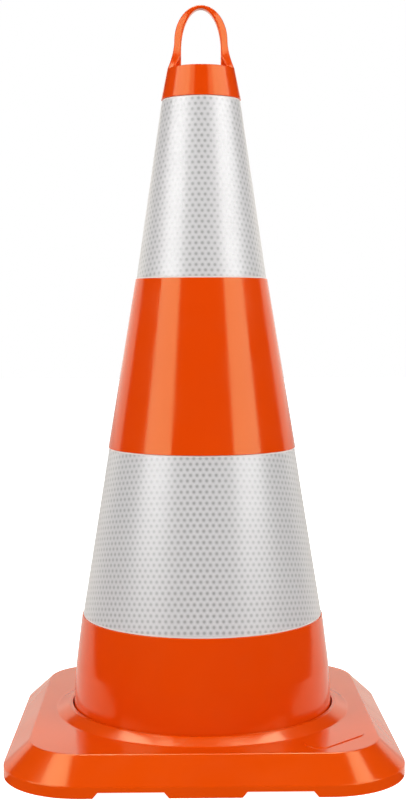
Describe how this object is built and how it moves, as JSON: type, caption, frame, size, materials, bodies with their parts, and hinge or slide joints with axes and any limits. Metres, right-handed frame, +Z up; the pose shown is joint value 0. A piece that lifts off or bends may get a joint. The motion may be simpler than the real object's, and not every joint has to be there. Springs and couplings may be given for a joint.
{
  "type": "traffic cone",
  "caption": "Hollow tapered traffic cone with a carry loop, recessed reflective sleeves and a square base with a bevelled skirt and notched rim.",
  "frame": {"origin": "centre of the square footprint, on the ground plane", "axes": "+Z up through the carry loop, the base's sides along X and Y, the carry loop in the XZ plane, the front is -Y"},
  "size_m": [0.385, 0.385, 0.75],
  "materials": {
    "cone_plastic": "glossy moulded orange plastic",
    "base_plastic": "glossy moulded orange plastic",
    "sleeve_carrier": "satin white plastic sheet",
    "reflective_film": "white retroreflective film with sealed honeycomb cells"
  },
  "bodies": {
    "root": {"base": "base_plastic", "cone_shell": "cone_plastic", "carry_loop": "cone_plastic", "lower_sleeve_carrier": "sleeve_carrier", "lower_sleeve_film": "reflective_film", "upper_sleeve_carrier": "sleeve_carrier", "upper_sleeve_film": "reflective_film"}
  },
  "joints": []
}
